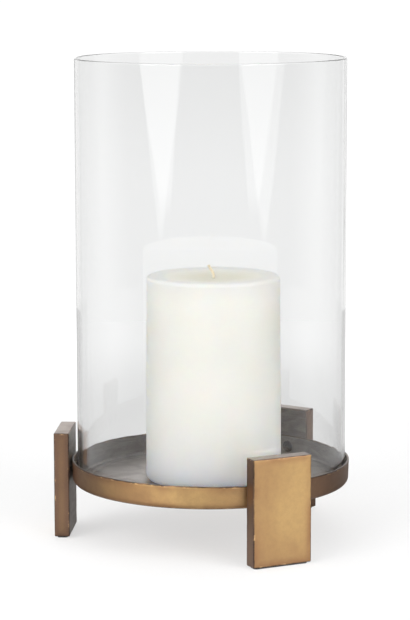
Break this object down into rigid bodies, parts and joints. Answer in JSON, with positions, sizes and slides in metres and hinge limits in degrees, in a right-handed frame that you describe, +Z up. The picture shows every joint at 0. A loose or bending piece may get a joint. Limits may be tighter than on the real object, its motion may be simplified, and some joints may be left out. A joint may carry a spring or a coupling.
{
  "type": "hurricane candle lantern",
  "caption": "Open glass cylinder standing in a shallow brass tray on slab legs, with a pillar candle inside.",
  "frame": {"origin": "centre of the footprint's bounding box, on the surface that the felt pads stand on; the tray's vertical axis is 5.8 mm behind it, towards +Y", "axes": "+Z up, -Y towards the front leg, +X to the right seen from the front leg"},
  "size_m": [0.226, 0.2229, 0.3627],
  "materials": {
    "aged_brass": "satin",
    "dark_screw": "satin",
    "felt": "matte",
    "clear_glass": "polished",
    "ivory_wax": "satin",
    "cotton": "matte",
    "tinplate": "satin"
  },
  "bodies": {
    "stand": {"tray": "aged_brass", "leg_front": "aged_brass", "leg_rear_left": "aged_brass", "leg_rear_right": "aged_brass", "screws_leg_front": "dark_screw", "screws_leg_rear_left": "dark_screw", "screws_leg_rear_right": "dark_screw", "foot_pad_front": "felt", "foot_pad_rear_left": "felt", "foot_pad_rear_right": "felt"},
    "glass": {"glass_cylinder": "clear_glass"},
    "candle": {"candle_wax": "ivory_wax", "candle_wick": "cotton", "wick_clip": "tinplate"}
  },
  "joints": [
    {"name": "glass_lift", "type": "slide", "parent": "stand", "child": "glass", "axis": [0, 0, 1], "range_m": [0, 0.18]},
    {"name": "candle_lift", "type": "slide", "parent": "stand", "child": "candle", "axis": [0, 0, 1], "range_m": [0, 0.33]}
  ]
}
